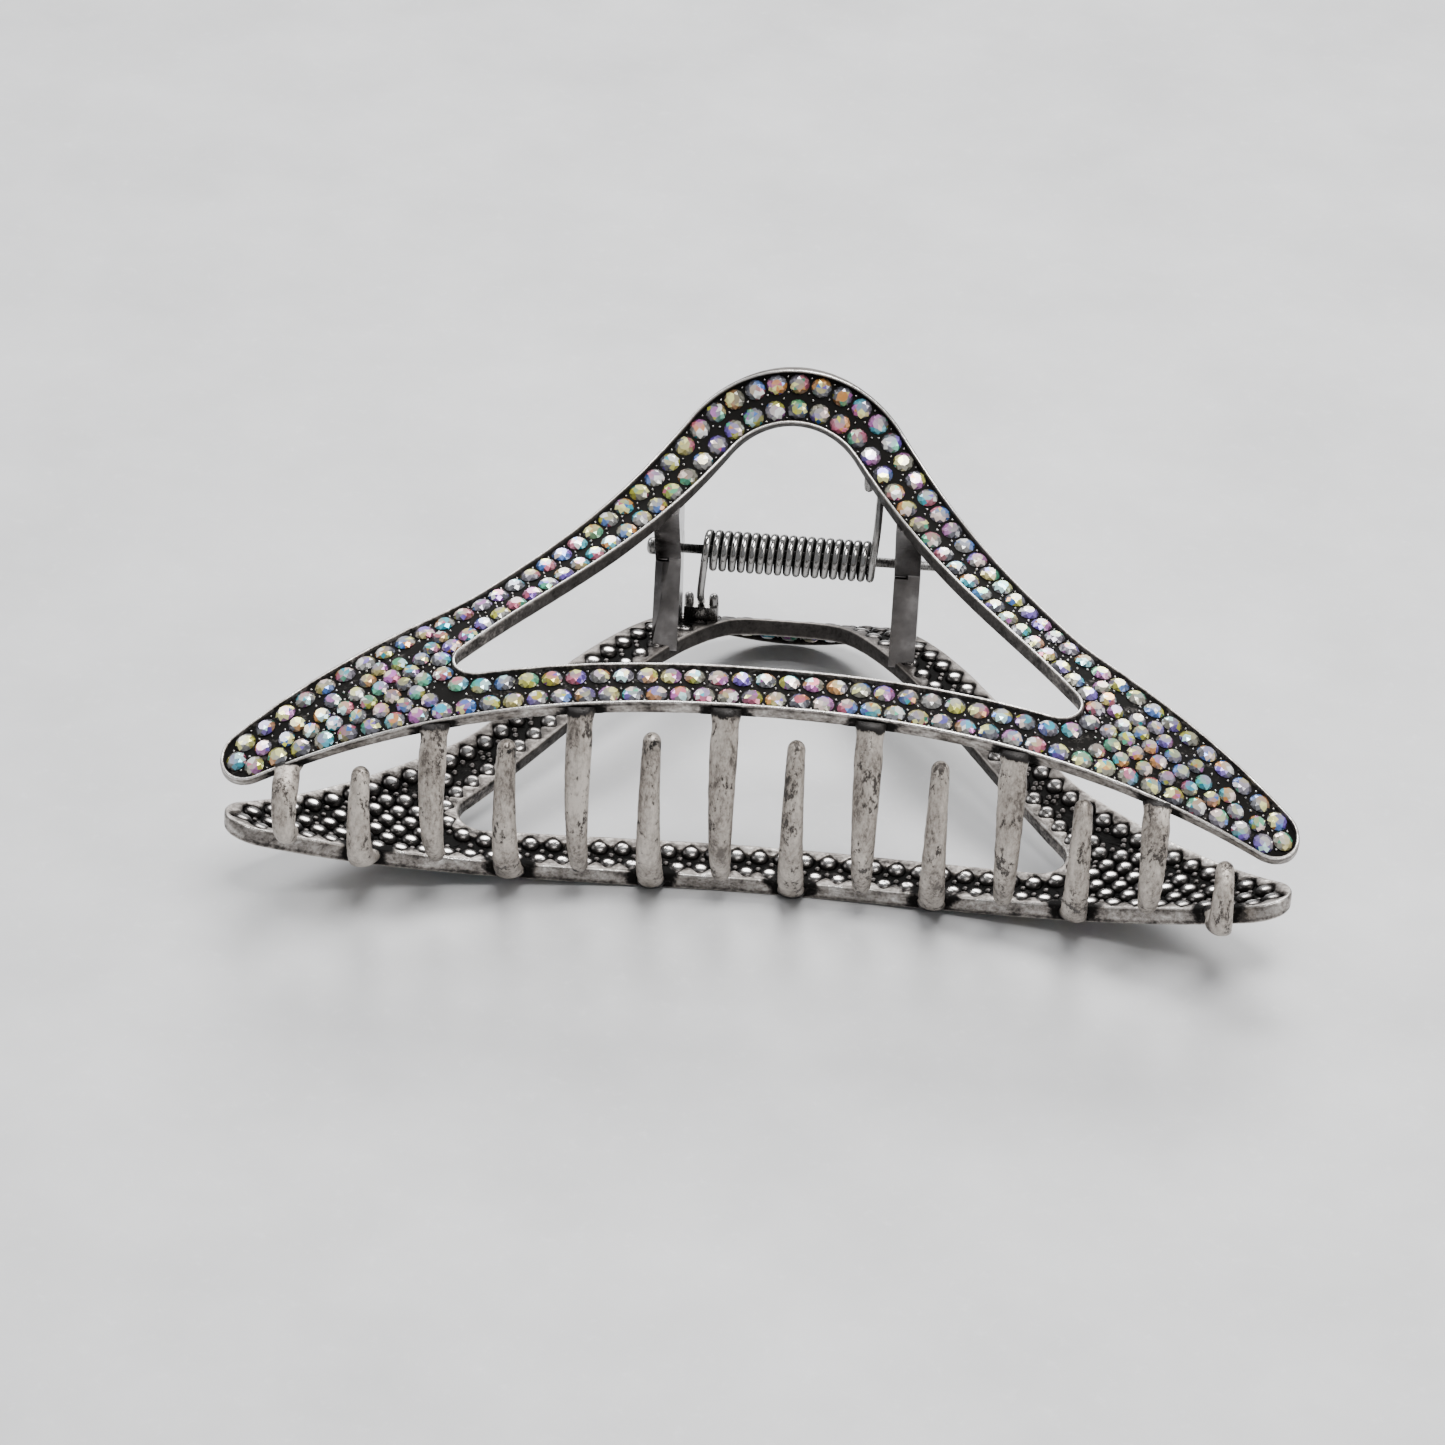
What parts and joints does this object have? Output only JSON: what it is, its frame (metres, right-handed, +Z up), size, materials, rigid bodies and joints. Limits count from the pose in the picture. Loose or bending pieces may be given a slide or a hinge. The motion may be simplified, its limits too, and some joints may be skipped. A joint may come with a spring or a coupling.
{
  "type": "claw hair clip",
  "caption": "Wide claw hair clip: open triangular metal jaws paved with small faceted stones, crossing curved teeth, and a sprung hinge pin.",
  "frame": {"origin": "Middle of the closed clip's box, on the surface that it lies on.", "axes": "+X along the hinge pin, towards the pin's plain end; +Y from the teeth towards the handles; +Z up, from the back jaw, which the clip lies on, to the front jaw."},
  "size_m": [0.1048, 0.0587, 0.0374],
  "materials": {
    "casting": "antique silver plate on zinc alloy, dark in the hollows",
    "teeth": "worn matte silver plate with dark pits",
    "hinge_metal": "smooth dark gunmetal",
    "pin": "dark steel",
    "spring_wire": "polished nickel",
    "stones": "foil-backed faceted glass with an iridescent coating"
  },
  "bodies": {
    "back_jaw": {"back_frame": "casting", "back_tooth_1": "teeth", "back_tooth_2": "teeth", "back_tooth_3": "teeth", "back_tooth_4": "teeth", "back_tooth_5": "teeth", "back_tooth_6": "teeth", "back_tooth_7": "teeth", "back_stones_edge_row": "stones", "back_stones_opening_row": "stones", "back_stones_left_wing": "stones", "back_stones_right_wing": "stones", "back_lug_left": "hinge_metal", "back_lug_right": "hinge_metal", "back_spring_catch": "hinge_metal", "hinge_pin": "pin", "spring": "spring_wire"},
    "front_jaw": {"front_frame": "casting", "front_tooth_1": "teeth", "front_tooth_2": "teeth", "front_tooth_3": "teeth", "front_tooth_4": "teeth", "front_tooth_5": "teeth", "front_tooth_6": "teeth", "front_tooth_7": "teeth", "front_stones_edge_row": "stones", "front_stones_opening_row": "stones", "front_stones_left_wing": "stones", "front_stones_right_wing": "stones", "front_lug_left": "hinge_metal", "front_lug_right": "hinge_metal", "front_spring_catch": "hinge_metal"}
  },
  "joints": [
    {"name": "jaw_hinge", "type": "hinge", "parent": "back_jaw", "child": "front_jaw", "pos_m": [0, 0.01808, 0.01768], "axis": [-1, 0, 0], "range_deg": [0, 100], "stiffness_Nm_per_rad": 0.12, "springref_deg": -51.57, "deforming": ["spring"]}
  ]
}
